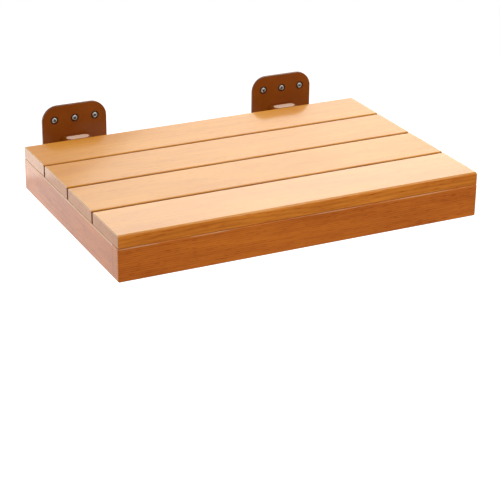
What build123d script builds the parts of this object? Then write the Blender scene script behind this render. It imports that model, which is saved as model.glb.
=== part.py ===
from build123d import *
from math import acos, atan2, cos, degrees, hypot, radians, sin, tan
import os

# Folding shower seat for a wall: a slatted wooden top on a three-sided rail frame, carried by two steel arms
# that turn on the hinge brackets of two wall plates. It is modelled lowered, ready to sit on.
# X runs along the width, +Y points into the wall and +Z up. The origin is on the wall, midway between the
# plates, at half their height. All sizes are in millimetres.

# Seat top: four slats, the one nearest the wall narrower than the rest
SEAT_WIDTH = 450.0
SEAT_DEPTH = 300.0
SLAT_THICKNESS = 15.0
SLAT_GAP = 2.6
REAR_SLAT_WIDTH = 69.0
SLAT_TOP_RADIUS = 2.0
SLAT_BOTTOM_RADIUS = 0.8
SLAT_END_RADIUS = 1.0
FRONT_EDGE_RADIUS = 3.5

# Rail frame under the slats, open towards the wall
RAIL_HEIGHT = 39.0
RAIL_THICKNESS = 15.0
RAIL_PROUD = 0.5
RAIL_EDGE_RADIUS = 1.6
RAIL_CORNER_RADIUS = 2.0

# Glued dowels: upright ones between slats and rails, level ones in the corners of the frame
DOWEL_DIAMETER = 8.0
DOWEL_IN_RAIL = 15.0
DOWEL_COVER = 5.0
DOWEL_EDGE = 18.0
DOWEL_CHAMFER = 1.0
FRONT_DOWEL_COUNT = 4
CORNER_DOWEL_DIAMETER = 6.0
CORNER_DOWEL_IN_SIDE_RAIL = 20.0
CORNER_DOWEL_COUNT = 2
GLUE_GAP = 0.1
DOWEL_END_GAP = 1.0

# Channel arms under the slats
ARM_INSET = 81.0
ARM_WIDTH = 30.0
ARM_DEPTH = 14.0
ARM_STEEL = 2.5
ARM_BEND_RADIUS = 1.0
ARM_EDGE_RADIUS = 0.5
ARM_TAIL = 20.0
ARM_TAIL_RADIUS = 6.0
ARM_FRONT_GAP = 6.0
ARM_FRONT_RADIUS = 7.0

# Pan-head screws that hold each arm to the slats, two to a slat
ARM_SCREW_DIAMETER = 4.0
ARM_SCREW_EDGE = 16.0
ARM_SCREW_COVER = 3.5
ARM_SCREW_HEAD_DIAMETER = 7.6
ARM_SCREW_HEAD_HEIGHT = 2.6
ARM_SCREW_RIM = 1.0
ARM_SCREW_POINT = 3.0
SCREW_GAP = 0.05

# Hinge: sleeve in the arm's tail, bolt through sleeve and bracket, nut on the bolt
SEAT_TO_PIN = 17.0
BOLT_DIAMETER = 6.0
BOLT_HEAD_DIAMETER = 10.5
BOLT_HEAD_HEIGHT = 3.4
BOLT_HEAD_RIM = 1.0
BOLT_SOCKET_WIDTH = 4.0
BOLT_SOCKET_DEPTH = 2.0
BOLT_END = 1.0
NUT_WIDTH = 10.0
NUT_HEIGHT = 3.2
NUT_CHAMFER_ANGLE = 30.0
HEX_SIDES = 6
SLEEVE_DIAMETER = 9.0
SLEEVE_COVER = 0.2
PIN_GAP = 0.06

# Hinge bracket: two ears joined by a bridge that stops the arm's tail when the seat is level
BRACKET_STEEL = 4.0
BRACKET_BEND_RADIUS = 2.0
BRACKET_EDGE_RADIUS = 0.8
BRACKET_FOOT = 8.0
EAR_NOSE_RADIUS = 8.0
EAR_FOOT_RADIUS = 6.0
SIDE_GAP = 0.75
STOP_GAP = 0.2
BRIDGE_GAP = 1.5
BRIDGE_BEVEL = 3.0

# Wall plates and their five raised countersunk screws
PLATE_HEIGHT = 84.0
PLATE_THICKNESS = 4.0
PLATE_WING = 22.25
PLATE_CORNER_RADIUS = 20.0
PLATE_EDGE_RADIUS = 0.8
PIN_ABOVE_PLATE_FOOT = 31.5
FOLD_GAP = 3.0
WALL_SCREW_DIAMETER = 5.0
WALL_SCREW_NECK = 4.0
WALL_SCREW_LENGTH = 25.0
WALL_SCREW_POINT = 6.0
WALL_SCREW_HEAD_DIAMETER = 8.0
WALL_SCREW_DOME = 2.0
WALL_SCREW_SINK = 0.7
WALL_SCREW_OFFSET = 6.75
WALL_SCREW_EDGE = 18.0
WALL_SCREW_GAP = 0.1

# Heights and depths that follow from those sizes
SIDES = {"left": -1, "right": 1}
PIN_DROP = ARM_STEEL + ARM_BEND_RADIUS + SLEEVE_COVER + SLEEVE_DIAMETER / 2
PIN_REACH = SLAT_THICKNESS + PIN_DROP + FOLD_GAP
PLATE_FRONT_Y = -PLATE_THICKNESS
PIN_Y = PLATE_FRONT_Y - PIN_REACH
PIN_Z = PIN_ABOVE_PLATE_FOOT - PLATE_HEIGHT / 2
SLAT_BOTTOM_Z = PIN_Z + PIN_DROP
SEAT_REAR_Y = PIN_Y - SEAT_TO_PIN
SEAT_FRONT_Y = SEAT_REAR_Y - SEAT_DEPTH
RAIL_FRONT_Y = SEAT_FRONT_Y - RAIL_PROUD
FRONT_RAIL_Y = RAIL_FRONT_Y + RAIL_THICKNESS / 2
FRAME_INSIDE_Y = RAIL_FRONT_Y + RAIL_THICKNESS
FRAME_WIDTH = SEAT_WIDTH + 2 * RAIL_PROUD
SIDE_RAIL_X = (FRAME_WIDTH - RAIL_THICKNESS) / 2
DOWEL_IN_SLAT = SLAT_THICKNESS - DOWEL_COVER
CORNER_DOWEL_IN_FRONT_RAIL = RAIL_THICKNESS - DOWEL_COVER
ARM_X = SEAT_WIDTH / 2 - ARM_INSET
ARM_TAIL_Y = PIN_Y + ARM_TAIL
ARM_FRONT_Y = FRAME_INSIDE_Y + ARM_FRONT_GAP
BRACKET_INSIDE = ARM_WIDTH + 2 * SIDE_GAP
BRACKET_WIDTH = BRACKET_INSIDE + 2 * BRACKET_STEEL
BRACKET_TOP_Z = SLAT_BOTTOM_Z + STOP_GAP + BRACKET_STEEL
BRACKET_FOOT_Z = BRACKET_FOOT - PLATE_HEIGHT / 2
BRIDGE_FRONT_Y = PIN_Y + PIN_DROP + BRIDGE_GAP
EAR_FRONT_Y = PIN_Y - EAR_NOSE_RADIUS
PLATE_WIDTH = BRACKET_WIDTH + 2 * PLATE_WING
WALL_SCREW_X = BRACKET_WIDTH / 2 + WALL_SCREW_OFFSET
WALL_SCREW_Z = PLATE_HEIGHT / 2 - WALL_SCREW_EDGE

SLAT_NAMES = ["rear_slat", "rear_middle_slat", "front_middle_slat", "front_slat"]


def slat_spans():
    """Rear and front edge of each slat: the rear one has its own width, the others share the rest evenly."""
    others = len(SLAT_NAMES) - 1
    width = (SEAT_DEPTH - REAR_SLAT_WIDTH - others * SLAT_GAP) / others
    spans = [(SEAT_REAR_Y, SEAT_REAR_Y - REAR_SLAT_WIDTH)]
    for _ in range(others):
        rear = spans[-1][1] - SLAT_GAP
        spans.append((rear, rear - width))
    return spans


SLAT_SPANS = slat_spans()


def arm_screw_rows(span):
    """The two places along an arm where it is screwed to a slat, clear of the front rail."""
    rear, front = span
    return rear - ARM_SCREW_EDGE, max(front, FRAME_INSIDE_Y) + ARM_SCREW_EDGE


def side_dowel_rows(span):
    """Where a slat is pegged to a side rail: twice, but only once near the frame's front corner."""
    rear, front = span
    if front < FRAME_INSIDE_Y:
        return [rear - DOWEL_EDGE]
    return [rear - DOWEL_EDGE, front + DOWEL_EDGE]


def front_dowel_places():
    """Even steps along the front rail, between the side rails."""
    step = (FRAME_WIDTH - 2 * RAIL_THICKNESS) / FRONT_DOWEL_COUNT
    return [step * (i - (FRONT_DOWEL_COUNT - 1) / 2) for i in range(FRONT_DOWEL_COUNT)]


def corner_dowel_heights():
    """Even steps down a corner of the frame."""
    step = RAIL_HEIGHT / (CORNER_DOWEL_COUNT + 1)
    return [SLAT_BOTTOM_Z - step * (i + 1) for i in range(CORNER_DOWEL_COUNT)]


# Shapes that several pieces are made with

def section(width, height, radii):
    """A rectangle about the origin with rounded corners: lower left, lower right, upper right, upper left."""
    shape = Rectangle(width, height)
    corners = [(-1, -1), (1, -1), (1, 1), (-1, 1)]
    for (side, level), radius in zip(corners, radii):
        if radius > 0:
            place = (side * width / 2, level * height / 2)
            shape = fillet(shape.vertices().sort_by_distance(place)[0], radius)
    return shape


def channel(width, depth, steel, bend_radius, edge_radius):
    """Section of bent sheet steel: a web along the top, at height 0, with a flange down each side."""
    outer = section(width, depth, (0, 0, bend_radius + steel, bend_radius + steel))
    inner = section(width - 2 * steel, depth - steel, (0, 0, bend_radius, bend_radius))
    bent = Pos(0, -depth / 2) * outer - Pos(0, -(depth + steel) / 2) * inner
    return fillet(bent.vertices().group_by(Axis.Y)[0], edge_radius)


def rod(diameter, start, end):
    """A round bar, or the tool for a round hole, from one point to another."""
    run = Vector(end) - Vector(start)
    return extrude(Plane(start, z_dir=run) * Circle(diameter / 2), run.length)


def turned(place, outline):
    """A turned piece: edges in radius and height, spun about the z axis of the plane it is placed on."""
    return place * revolve(Plane.XZ * make_face(outline), Axis.Z)


def side_profile(outline, width):
    """A side view in Y and Z, carried across the part in X."""
    return extrude(Plane.YZ * outline, width, both=True)


def dowel(diameter, start, end):
    """A beech peg with chamfered ends."""
    peg = rod(diameter, start, end)
    return chamfer(peg.edges().filter_by(GeomType.CIRCLE), DOWEL_CHAMFER)


# Wooden pieces

def slat_dowel_spots():
    """Every upright dowel: its group and its place in X and Y."""
    spots = [("front_rail_dowels", x, FRONT_RAIL_Y) for x in front_dowel_places()]
    for name, side in SIDES.items():
        for span in SLAT_SPANS:
            spots += [(name + "_slat_dowels", side * SIDE_RAIL_X, y) for y in side_dowel_rows(span)]
    return spots


def corner_dowel_spots():
    """Every level dowel of the frame's corners: its place in X and Z."""
    return [(side * SIDE_RAIL_X, z) for side in SIDES.values() for z in corner_dowel_heights()]


def upright_dowel_hole(x, y):
    """Blind hole for an upright dowel, half in the slat and half in the rail."""
    low = (x, y, SLAT_BOTTOM_Z - DOWEL_IN_RAIL - DOWEL_END_GAP)
    high = (x, y, SLAT_BOTTOM_Z + DOWEL_IN_SLAT)
    return rod(DOWEL_DIAMETER + 2 * GLUE_GAP, low, high)


def upright_dowel(x, y):
    low = (x, y, SLAT_BOTTOM_Z - DOWEL_IN_RAIL)
    high = (x, y, SLAT_BOTTOM_Z + DOWEL_IN_SLAT - DOWEL_END_GAP)
    return dowel(DOWEL_DIAMETER, low, high)


def corner_dowel_hole(x, z):
    """Blind hole from the front rail's back into the end of a side rail."""
    front = (x, FRAME_INSIDE_Y - CORNER_DOWEL_IN_FRONT_RAIL, z)
    rear = (x, FRAME_INSIDE_Y + CORNER_DOWEL_IN_SIDE_RAIL + DOWEL_END_GAP, z)
    return rod(CORNER_DOWEL_DIAMETER + 2 * GLUE_GAP, front, rear)


def corner_dowel(x, z):
    front = (x, FRAME_INSIDE_Y - CORNER_DOWEL_IN_FRONT_RAIL + DOWEL_END_GAP, z)
    rear = (x, FRAME_INSIDE_Y + CORNER_DOWEL_IN_SIDE_RAIL, z)
    return dowel(CORNER_DOWEL_DIAMETER, front, rear)


def slat(span):
    """One board of the top, eased all round and drilled from below for its dowels and screws."""
    rear, front = span
    is_front = span == SLAT_SPANS[-1]
    front_top = FRONT_EDGE_RADIUS if is_front else SLAT_TOP_RADIUS
    radii = (SLAT_BOTTOM_RADIUS, SLAT_BOTTOM_RADIUS, SLAT_TOP_RADIUS, front_top)
    outline = Pos((rear + front) / 2, SLAT_BOTTOM_Z + SLAT_THICKNESS / 2) * section(
        rear - front, SLAT_THICKNESS, radii)
    board = side_profile(outline, SEAT_WIDTH / 2)
    board = fillet(board.faces().filter_by(Axis.X).edges(), SLAT_END_RADIUS)
    for _, x, y in slat_dowel_spots():
        if front < y < rear:
            board -= upright_dowel_hole(x, y)
    for side in SIDES.values():
        for y in arm_screw_rows(span):
            board -= arm_screw_hole(side * ARM_X, y)
    return board


def front_rail():
    """The rail across the front, full width, with its end grain showing at both sides."""
    middle = Pos(0, FRONT_RAIL_Y, SLAT_BOTTOM_Z - RAIL_HEIGHT / 2)
    rail = middle * Box(FRAME_WIDTH, RAIL_THICKNESS, RAIL_HEIGHT)
    upright = rail.edges().filter_by(Axis.Z).group_by(Axis.Y)[0]
    rail = fillet(upright, RAIL_CORNER_RADIUS)
    rims = rail.faces().filter_by(Axis.Z).edges()
    front_rims = rims.filter_by(Axis.X).group_by(Axis.Y)[0]
    rail = fillet(front_rims + rims.filter_by(Axis.X, reverse=True), RAIL_EDGE_RADIUS)
    for group, x, y in slat_dowel_spots():
        if group == "front_rail_dowels":
            rail -= upright_dowel_hole(x, y)
    for x, z in corner_dowel_spots():
        rail -= corner_dowel_hole(x, z)
    return rail


def side_rail(side):
    """A rail along one side, square where it meets the front rail and flush with the slats at the wall."""
    length = SEAT_REAR_Y - FRAME_INSIDE_Y
    outline = section(RAIL_THICKNESS, RAIL_HEIGHT, (RAIL_EDGE_RADIUS,) * 4)
    start = Plane((side * SIDE_RAIL_X, SEAT_REAR_Y, SLAT_BOTTOM_Z - RAIL_HEIGHT / 2), (1, 0, 0), (0, -1, 0))
    rail = extrude(start * outline, length)
    rail = fillet(rail.faces().sort_by(Axis.Y)[-1].edges(), SLAT_END_RADIUS)
    for _, x, y in slat_dowel_spots():
        if abs(x - side * SIDE_RAIL_X) < RAIL_THICKNESS / 2 and y > FRAME_INSIDE_Y:
            rail -= upright_dowel_hole(x, y)
    for x, z in corner_dowel_spots():
        rail -= corner_dowel_hole(x, z)
    return rail


# Steel arms and their screws

def arm_screw_hole(x, y):
    """Hole through an arm's web into a slat, the size of the screw and blind at its point."""
    foot = (x, y, SLAT_BOTTOM_Z - ARM_STEEL)
    point = (x, y, SLAT_BOTTOM_Z + SLAT_THICKNESS - ARM_SCREW_COVER + SCREW_GAP)
    return rod(ARM_SCREW_DIAMETER + 2 * SCREW_GAP, foot, point)


def arm_screw(x, y):
    """A pan-head wood screw, driven upwards through the web."""
    length = ARM_STEEL + SLAT_THICKNESS - ARM_SCREW_COVER
    head = ARM_SCREW_HEAD_DIAMETER / 2
    shank = ARM_SCREW_DIAMETER / 2
    dome = TangentArc((0, ARM_SCREW_HEAD_HEIGHT), (head, ARM_SCREW_RIM), tangent=(1, 0))
    body = Polyline(
        (head, ARM_SCREW_RIM), (head, 0), (shank, 0), (shank, ARM_SCREW_POINT - length), (0, -length),
        (0, ARM_SCREW_HEAD_HEIGHT))
    return turned(Plane((x, y, SLAT_BOTTOM_Z - ARM_STEEL), z_dir=(0, 0, -1)), [dome, body])


def arm(side):
    """A channel with its web against the slats, from the bracket's stop to just short of the front rail."""
    length = ARM_TAIL_Y - ARM_FRONT_Y
    tail = Plane((side * ARM_X, ARM_TAIL_Y, SLAT_BOTTOM_Z), (1, 0, 0), (0, -1, 0))
    bend = channel(ARM_WIDTH, ARM_DEPTH, ARM_STEEL, ARM_BEND_RADIUS, ARM_EDGE_RADIUS)
    bar = extrude(tail * bend, length)
    outline = Pos((ARM_TAIL_Y + ARM_FRONT_Y) / 2, SLAT_BOTTOM_Z - ARM_DEPTH / 2) * section(
        length, ARM_DEPTH, (ARM_FRONT_RADIUS, ARM_TAIL_RADIUS, 0, 0))
    bar &= side_profile(outline, SEAT_WIDTH)
    bar -= pin_hole(side)
    for span in SLAT_SPANS:
        for y in arm_screw_rows(span):
            bar -= arm_screw_hole(side * ARM_X, y)
    return bar


# Hinges

def pin_hole(side):
    """The hole that the hinge bolt runs in, right across a bracket."""
    middle = side * ARM_X
    reach = BRACKET_WIDTH
    return rod(BOLT_DIAMETER + 2 * PIN_GAP, (middle - reach, PIN_Y, PIN_Z), (middle + reach, PIN_Y, PIN_Z))


def hinge_sleeve(side):
    """A spacer tube between the arm's flanges, on which the seat turns."""
    half = ARM_WIDTH / 2 - ARM_STEEL
    middle = side * ARM_X
    tube = rod(SLEEVE_DIAMETER, (middle - half, PIN_Y, PIN_Z), (middle + half, PIN_Y, PIN_Z))
    return tube - pin_hole(side)


def hinge_bolt(side):
    """A button-head bolt from the inner ear to the outer one, with a hexagon socket in its head."""
    head = BOLT_HEAD_DIAMETER / 2
    shank = BOLT_DIAMETER / 2
    length = BRACKET_WIDTH + NUT_HEIGHT + BOLT_END
    dome = TangentArc((0, BOLT_HEAD_HEIGHT), (head, BOLT_HEAD_RIM), tangent=(1, 0))
    body = Polyline(
        (head, BOLT_HEAD_RIM), (head, 0), (shank, 0), (shank, -length), (0, -length), (0, BOLT_HEAD_HEIGHT))
    place = Plane((side * (ARM_X - BRACKET_WIDTH / 2), PIN_Y, PIN_Z), z_dir=(-side, 0, 0))
    hexagon = RegularPolygon(BOLT_SOCKET_WIDTH / 2, HEX_SIDES, major_radius=False)
    socket = place * Pos(0, 0, BOLT_HEAD_HEIGHT - BOLT_SOCKET_DEPTH) * extrude(hexagon, BOLT_HEAD_HEIGHT)
    return turned(place, [dome, body]) - socket


def hinge_nut(side):
    """A thin hexagon nut on the outer ear, its corners turned off."""
    flat = NUT_WIDTH / 2
    corner = flat / cos(radians(180 / HEX_SIDES))
    rim = NUT_HEIGHT - (corner - flat) * tan(radians(NUT_CHAMFER_ANGLE))
    blank = Polyline((0, 0), (corner, 0), (corner, rim), (flat, NUT_HEIGHT), (0, NUT_HEIGHT), close=True)
    place = Plane((side * (ARM_X + BRACKET_WIDTH / 2), PIN_Y, PIN_Z), z_dir=(side, 0, 0))
    hexagon = place * extrude(RegularPolygon(flat, HEX_SIDES, major_radius=False), NUT_HEIGHT)
    return (hexagon & turned(place, blank)) - pin_hole(side)


def ear_outline():
    """Side view of the bracket: up the plate, along the bridge and its bevel, round the nose and down."""
    bevel_foot_z = BRACKET_TOP_Z - BRIDGE_BEVEL
    rise = bevel_foot_z - PIN_Z
    run = BRIDGE_FRONT_Y - PIN_Y
    touch = atan2(rise, run) + acos(EAR_NOSE_RADIUS / hypot(rise, run))
    touch_point = (PIN_Y + EAR_NOSE_RADIUS * cos(touch), PIN_Z + EAR_NOSE_RADIUS * sin(touch))
    back = Polyline(
        (PLATE_FRONT_Y, BRACKET_FOOT_Z), (PLATE_FRONT_Y, BRACKET_TOP_Z),
        (BRIDGE_FRONT_Y + BRIDGE_BEVEL, BRACKET_TOP_Z), (BRIDGE_FRONT_Y, bevel_foot_z), touch_point)
    nose = CenterArc((PIN_Y, PIN_Z), EAR_NOSE_RADIUS, degrees(touch), 180 - degrees(touch))
    front = Polyline((EAR_FRONT_Y, PIN_Z), (EAR_FRONT_Y, BRACKET_FOOT_Z), (PLATE_FRONT_Y, BRACKET_FOOT_Z))
    outline = make_face([back, nose, front])
    foot = outline.vertices().sort_by_distance((EAR_FRONT_Y, BRACKET_FOOT_Z))[0]
    return fillet(foot, EAR_FOOT_RADIUS)


def hinge_bracket(side):
    """Bent steel on the wall plate: the ears take the bolt, the bridge over them stops the arm's tail."""
    start = Plane((side * ARM_X, PLATE_FRONT_Y, BRACKET_TOP_Z), (1, 0, 0), (0, -1, 0))
    height = BRACKET_TOP_Z - BRACKET_FOOT_Z
    bend = channel(BRACKET_WIDTH, height, BRACKET_STEEL, BRACKET_BEND_RADIUS, BRACKET_EDGE_RADIUS)
    bracket = extrude(start * bend, PLATE_FRONT_Y - EAR_FRONT_Y)
    bracket &= side_profile(ear_outline(), SEAT_WIDTH)
    opening = Plane((side * ARM_X, BRIDGE_FRONT_Y, PIN_Z), (1, 0, 0), (0, -1, 0))
    bracket -= extrude(opening * Rectangle(BRACKET_INSIDE, PLATE_HEIGHT), PIN_REACH)
    return bracket - pin_hole(side)


# Wall plates and their screws

def wall_screw_places(side):
    """Three screws above the seat and two below it, as planes on the front of a plate."""
    upper = [(offset * WALL_SCREW_X, WALL_SCREW_Z) for offset in (-1, 0, 1)]
    lower = [(offset * WALL_SCREW_X, -WALL_SCREW_Z) for offset in (-1, 1)]
    return [Plane((side * ARM_X + x, PLATE_FRONT_Y, z), z_dir=(0, -1, 0)) for x, z in upper + lower]


def wall_screw(place):
    """A raised countersunk wood screw: a plain neck in the plate, and its full thickness behind it."""
    head = WALL_SCREW_HEAD_DIAMETER / 2
    neck = WALL_SCREW_NECK / 2
    shank = WALL_SCREW_DIAMETER / 2
    rim = -WALL_SCREW_SINK
    crown = rim + WALL_SCREW_DOME
    dome = TangentArc((0, crown), (head, rim), tangent=(1, 0))
    body = Polyline(
        (head, rim), (neck, rim + neck - head), (neck, -PLATE_THICKNESS), (shank, -PLATE_THICKNESS),
        (shank, WALL_SCREW_POINT - WALL_SCREW_LENGTH), (0, -WALL_SCREW_LENGTH), (0, crown))
    return turned(place, [dome, body])


def wall_screw_hole(place):
    """The countersunk hole that a wall screw sinks into."""
    head = WALL_SCREW_HEAD_DIAMETER / 2 + WALL_SCREW_SINK + WALL_SCREW_GAP
    shank = WALL_SCREW_DIAMETER / 2 + WALL_SCREW_GAP
    cone = Polyline(
        (0, 0), (head, 0), (shank, shank - head), (shank, -PLATE_THICKNESS), (0, -PLATE_THICKNESS),
        close=True)
    return turned(place, cone)


def wall_plate(side):
    """A flat plate with large round corners and a softened front edge."""
    back = Plane((side * ARM_X, 0, 0), (1, 0, 0), (0, -1, 0))
    plate = extrude(back * section(PLATE_WIDTH, PLATE_HEIGHT, (PLATE_CORNER_RADIUS,) * 4), PLATE_THICKNESS)
    plate = fillet(plate.faces().sort_by(Axis.Y)[0].edges(), PLATE_EDGE_RADIUS)
    for place in wall_screw_places(side):
        plate -= wall_screw_hole(place)
    return plate


# The whole seat, node by node

def model():
    """Every node's name with its solids."""
    nodes = {name: [slat(span)] for name, span in zip(SLAT_NAMES, SLAT_SPANS)}
    nodes["front_rail"] = [front_rail()]
    nodes["corner_dowels"] = [corner_dowel(x, z) for x, z in corner_dowel_spots()]
    for group, x, y in slat_dowel_spots():
        nodes.setdefault(group, []).append(upright_dowel(x, y))
    for name, side in SIDES.items():
        nodes[name + "_side_rail"] = [side_rail(side)]
        nodes[name + "_arm"] = [arm(side)]
        rows = [y for span in SLAT_SPANS for y in arm_screw_rows(span)]
        nodes[name + "_arm_screws"] = [arm_screw(side * ARM_X, y) for y in rows]
        nodes[name + "_hinge_sleeve"] = [hinge_sleeve(side)]
        nodes[name + "_hinge_bolt"] = [hinge_bolt(side)]
        nodes[name + "_hinge_nut"] = [hinge_nut(side)]
        nodes[name + "_hinge_bracket"] = [hinge_bracket(side)]
        nodes[name + "_wall_plate"] = [wall_plate(side)]
        nodes[name + "_wall_screws"] = [wall_screw(place) for place in wall_screw_places(side)]
    return nodes


os.makedirs("parts", exist_ok=True)
for name, solids in model().items():
    node = Compound(children=[solid for piece in solids for solid in piece.solids()])
    export_step(node, os.path.join("parts", name + ".step"))
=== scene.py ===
# %% [markdown]
# # A folding wall seat
# Four slats on a low frame of rails make the seat. Two steel arms carry it, and each arm turns on a bolt in
# a bracket on the wall, so that the seat folds up flat. The shapes of boards, arms, brackets and plates are
# already right in the packed part, so this lesson gives them their finishes, cuts the small screws finer,
# and lights them.

import math

import bpy
import numpy as np
from mathutils import Matrix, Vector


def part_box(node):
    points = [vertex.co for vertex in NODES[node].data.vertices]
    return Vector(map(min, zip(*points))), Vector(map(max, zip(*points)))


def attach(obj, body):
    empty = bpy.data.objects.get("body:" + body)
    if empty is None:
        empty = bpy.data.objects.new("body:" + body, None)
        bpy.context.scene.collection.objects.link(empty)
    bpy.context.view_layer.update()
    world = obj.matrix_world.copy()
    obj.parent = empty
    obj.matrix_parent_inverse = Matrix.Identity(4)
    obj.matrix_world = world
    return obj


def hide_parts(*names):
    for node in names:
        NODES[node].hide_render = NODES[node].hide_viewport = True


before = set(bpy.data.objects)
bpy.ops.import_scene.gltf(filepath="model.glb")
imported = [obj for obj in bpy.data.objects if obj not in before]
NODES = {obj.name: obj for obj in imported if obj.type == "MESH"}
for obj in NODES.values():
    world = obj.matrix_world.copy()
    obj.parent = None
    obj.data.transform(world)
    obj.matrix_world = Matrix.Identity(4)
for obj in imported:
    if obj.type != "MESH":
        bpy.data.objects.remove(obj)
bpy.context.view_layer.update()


# %% [markdown]
# ## Shader sums written as Python
# Wood and paint are made of many small sums: a distance to an edge, a wave for the year rings, a noise for
# the pores. A node editor shows each one as a box. It could all be laid out by hand, but a small class
# around a socket is easier to read: plus, minus and times on two wires add the Math nodes.

# %% A wire that can be calculated with
class Wire:
    """One output of a shader node. Arithmetic on wires adds Math nodes to the same tree."""

    def __init__(self, tree, socket):
        self.tree, self.socket = tree, socket

    def node(self, kind, settings=None, sockets=None, output=0):
        """Any node: its settings first, then a value or a wire for each named socket.

        It gives the wire of one output, or None for a node that closes a tree and has no output.
        """
        made = self.tree.nodes.new(kind)
        for name, value in (settings or {}).items():
            setattr(made, name, value)
        for name, value in (sockets or {}).items():
            if isinstance(value, Wire):
                self.tree.links.new(value.socket, made.inputs[name])
            else:
                made.inputs[name].default_value = value
        return Wire(self.tree, made.outputs[output]) if made.outputs else None

    def math(self, operation, *others, clamp=False):
        """A Math node with this wire first."""
        sockets = dict(enumerate((self,) + others))
        return self.node("ShaderNodeMath", {"operation": operation, "use_clamp": clamp}, sockets)

    def __add__(self, other):
        return self.math("ADD", other)

    def __sub__(self, other):
        return self.math("SUBTRACT", other)

    def __rsub__(self, other):
        return (self * -1) + other

    def __mul__(self, other):
        return self.math("MULTIPLY", other)

    def __truediv__(self, other):
        return self.math("DIVIDE", other)

    def __pow__(self, other):
        return self.math("POWER", other)

    def __abs__(self):
        return self.math("ABSOLUTE")

    __radd__, __rmul__ = __add__, __mul__

    def least(self, other):
        return self.math("MINIMUM", other)

    def most(self, other):
        return self.math("MAXIMUM", other)

    def step(self, low, high):
        """0 below low, 1 above high, and an even S-curve between them."""
        settings = {"interpolation_type": "SMOOTHSTEP"}
        return self.node("ShaderNodeMapRange", settings, {"Value": self, "From Min": low, "From Max": high})

    def near(self, full, gone):
        """1 below full, 0 above gone: how strongly a mark shows at this distance from its place."""
        return 1 - self.step(full, gone)

    def between(self, low, high):
        """A value that goes from low to high as this wire goes from 0 to 1."""
        return self * (high - low) + low

    def blend(self, other, share):
        """This wire, with a fixed share of another one in its place."""
        return self * (1 - share) + other * share

    def mix(self, low, high):
        """A colour between two colours, with this wire as the share of the second.

        A Mix node has sockets for numbers, vectors and colours. 6, 7 and output 2 are those for colours.
        """
        return self.node("ShaderNodeMix", {"data_type": "RGBA"}, {0: self, 6: low, 7: high}, 2)


print("a wire can:", [name for name in vars(Wire) if not name.startswith("_")])


# %% [markdown]
# Every finish starts and ends in the same way: an empty material with the object's own coordinates, and one
# Principled shader. The pieces all sit at the origin, so these coordinates are places on the seat. They
# could stay in metres, but the sizes of pores, rings and rounded edges are easier to judge in millimetres.

# %% Materials in millimetres
MM = 0.001


def emptied(owner):
    """The start of a material's or a world's node tree, with nothing in it yet."""
    owner.use_nodes = True
    owner.node_tree.nodes.clear()
    return Wire(owner.node_tree, None)


def blank(name):
    """A new material and three wires: x, y and z on the seat, in millimetres."""
    material = bpy.data.materials.new(name)
    start = emptied(material)
    place = start.node("ShaderNodeTexCoord", output="Object")
    axes = [start.node("ShaderNodeSeparateXYZ", None, {"Vector": place}, axis) for axis in "XYZ"]
    return material, [axis / MM for axis in axes]


def finish(material, sockets):
    """Close a material with one Principled shader.

    A plain number is set on the shader's own socket, and a wire is linked where the surface varies.
    """
    start = Wire(material.node_tree, None)
    shader = start.node("ShaderNodeBsdfPrincipled", None, sockets)
    start.node("ShaderNodeOutputMaterial", None, {"Surface": shader})
    return material


print("one unit in a material:", MM, "m")


# %% [markdown]
# No surface of the real seat is quite even. Its irregular marks could come from a picture, but a noise node
# has no seams and runs through the whole solid, and a bump node makes relief of it that is too fine to
# model.

# %% Noise and relief
def noise(x, y, z, detail=2.0):
    """Smooth noise from 0 to 1 that changes over about one unit of each of the three wires."""
    point = x.node("ShaderNodeCombineXYZ", None, {"X": x, "Y": y, "Z": z})
    return x.node("ShaderNodeTexNoise", None, {"Vector": point, "Scale": 1.0, "Detail": detail})


def spots(x, y, z, size, detail=2.0):
    """Noise in round spots of one size, in millimetres."""
    return noise(x / size, y / size, z / size, detail)


def relief(height, depth_mm, strength):
    """A normal that follows a height wire, whose full range is the given depth."""
    sockets = {"Height": height, "Distance": depth_mm * MM, "Strength": strength}
    return height.node("ShaderNodeBump", None, sockets)


print("irregular marks:", [mark.__name__ for mark in (noise, spots, relief)])


# %% [markdown]
# Wear and dirt follow edges, so a finish has to know where the edges of its piece are. They could be
# painted on each mesh by hand. The packed part already knows the box round every piece, and then a distance
# from a face is a plain subtraction.

# %% Pieces and their boxes
SIDES = ("left", "right")


def dress(names, material):
    """Give CAD nodes their finish."""
    for name in names:
        NODES[name].data.materials.clear()
        NODES[name].data.materials.append(material)


def box_mm(name):
    """Lowest and highest corner of a CAD node, in millimetres."""
    low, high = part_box(name)
    return np.array(low) / MM, np.array(high) / MM


def face_distances(x, y, z, low, high):
    """Distances from the six faces of a box, in millimetres."""
    return {
        "left": x - low[0], "right": high[0] - x, "front": y - low[1], "rear": high[1] - y,
        "foot": z - low[2], "top": high[2] - z}


def second_least(a, b, c):
    """The middle one of three wires.

    Near an edge of a box the distances from two of its faces are small, so this one is too.
    """
    return a.least(b).most(a.most(b).least(c))


low, high = box_mm("front_slat")
print("front slat:", np.round(high - low, 1), "mm")


# %% [markdown]
# ## Varnished boards
# The boards are an orange hardwood under a clear satin varnish. A picture of wood wrapped round a board
# would show the same grain on its ends as on its top. Real grain is solid: year rings are tubes about the
# heart of the tree, and a board is cut out of them. So the rings here are distances from a heart line
# beside the board, and the saw's cut decides what shows: long lines on top, arcs on the ends.

# %% Grain
# Width of a year ring, and how far the rings bend along a board, in millimetres.
RING, BEND = 2.3, 16
# The dark late wood of a ring is a wave to this power, which makes its lines thin.
LATE_WOOD_POWER = 2.5
# Length and width of the patches of each mark, in millimetres.
DRIFT_PATCH, FIBRE_PATCH, PORE_PATCH = (240, 80), (28, 0.6), (9, 0.32)
TICK_PATCH, CLOUD_PATCH, STREAK_PATCH = (11, 1.2), (130, 34), (75, 4.5)
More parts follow.
